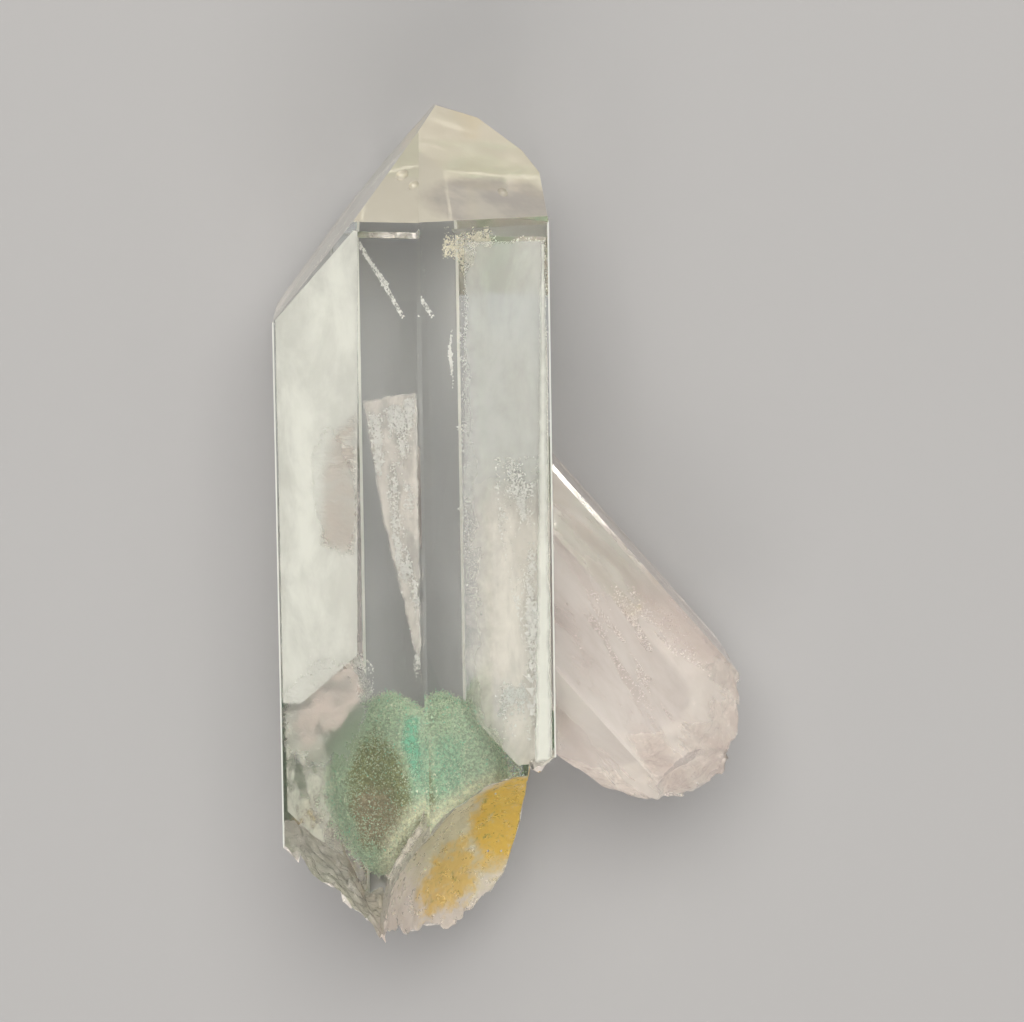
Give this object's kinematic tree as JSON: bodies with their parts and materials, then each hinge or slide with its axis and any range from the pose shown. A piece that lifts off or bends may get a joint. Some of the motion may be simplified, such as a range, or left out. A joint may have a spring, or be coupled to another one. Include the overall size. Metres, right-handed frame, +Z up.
{
  "type": "quartz crystal with fuchsite inclusion",
  "caption": "Clear prismatic quartz crystal with a sloping point, a broken base and a smaller side crystal, holding a green fuchsite inclusion in its base.",
  "frame": {"origin": "centre of the bounding box in X and Y, on the surface that the stone lies on", "axes": "+Y along the main crystal's long axis towards its point, +Z up, +X towards the side crystal"},
  "size_m": [0.0248, 0.045, 0.0151],
  "materials": {
    "quartz": "clear and glossy on the flat faces, frosted and rough on the breaks, with a yellow iron stain on the front break of the base",
    "fuchsite": "fine pearly green flakes, dull from a distance"
  },
  "bodies": {
    "root": {"quartz_crystal": "quartz", "quartz_base": "quartz", "fuchsite": "fuchsite"}
  },
  "joints": []
}
